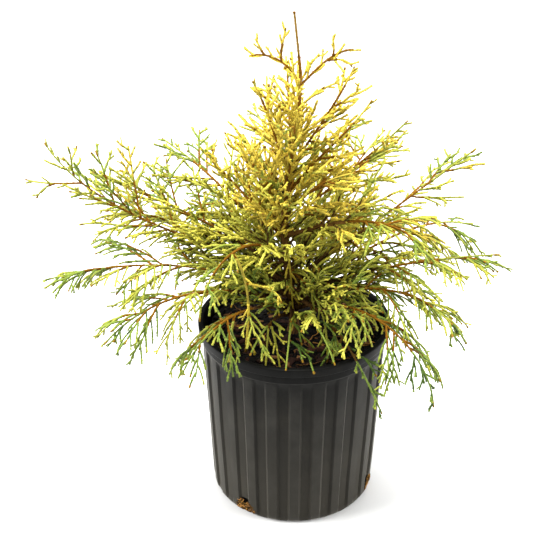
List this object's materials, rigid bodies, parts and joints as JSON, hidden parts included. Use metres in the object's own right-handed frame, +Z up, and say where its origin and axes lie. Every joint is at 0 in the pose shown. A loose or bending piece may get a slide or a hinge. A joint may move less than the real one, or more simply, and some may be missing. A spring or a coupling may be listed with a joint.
{
  "type": "potted conifer",
  "caption": "Young sawara cypress with golden, thread-like drooping foliage on a short leaning trunk, planted in bark mix in a fluted black nursery pot with side drain holes",
  "frame": {"origin": "centre of the pot's flat underside, on the ground", "axes": "+Z is up, out of the pot. -Y faces the viewer of the picture, and +X is to that viewer's right"},
  "size_m": [0.3845, 0.2717, 0.4386],
  "materials": {
    "black_plastic": "blow-moulded polyethylene, slightly scuffed",
    "bark_mix": "composted bark mix, rough and moist",
    "bark": "thin fibrous orange-brown bark",
    "golden_foliage": "thread-like twigs clad in golden scale leaves",
    "green_foliage": "thread-like twigs clad in shaded green scale leaves"
  },
  "bodies": {
    "root": {"bough_back": "bark", "bough_back_left": "bark", "bough_back_right": "bark", "bough_front": "bark", "bough_front_left": "bark", "bough_front_right": "bark", "bough_left_back": "bark", "bough_left_front": "bark", "bough_low_left": "bark", "bough_low_left_front": "bark", "bough_low_right": "bark", "bough_mid_back": "bark", "bough_mid_back_left": "bark", "bough_mid_back_right": "bark", "bough_mid_front_left": "bark", "bough_mid_front_right": "bark", "bough_mid_left": "bark", "bough_mid_left_rear": "bark", "bough_mid_right": "bark", "bough_right": "bark", "bough_right_front": "bark", "bough_right_hanging": "bark", "foliage_back": "green_foliage", "foliage_back_left": "green_foliage", "foliage_back_right": "green_foliage", "foliage_front": "green_foliage", "foliage_front_left": "green_foliage", "foliage_front_right": "green_foliage", "foliage_leader": "golden_foliage", "foliage_left_back": "golden_foliage", "foliage_left_front": "green_foliage", "foliage_low_left": "green_foliage", "foliage_low_left_front": "green_foliage", "foliage_low_right": "green_foliage", "foliage_mid_back": "golden_foliage", "foliage_mid_back_left": "golden_foliage", "foliage_mid_back_right": "golden_foliage", "foliage_mid_front_left": "green_foliage", "foliage_mid_front_right": "green_foliage", "foliage_mid_left": "golden_foliage", "foliage_mid_left_rear": "golden_foliage", "foliage_mid_right": "golden_foliage", "foliage_right": "golden_foliage", "foliage_right_front": "green_foliage", "foliage_right_hanging": "green_foliage", "foliage_top_back": "golden_foliage", "foliage_top_left": "golden_foliage", "foliage_top_right": "golden_foliage", "foliage_upper_back": "golden_foliage", "foliage_upper_back_left": "golden_foliage", "foliage_upper_front": "golden_foliage", "foliage_upper_left": "golden_foliage", "foliage_upper_left_front": "golden_foliage", "foliage_upper_right": "golden_foliage", "foliage_upper_right_front": "golden_foliage", "foliage_upper_right_mid": "golden_foliage", "pot": "black_plastic", "root_ball": "bark_mix", "trunk": "bark"}
  },
  "joints": []
}
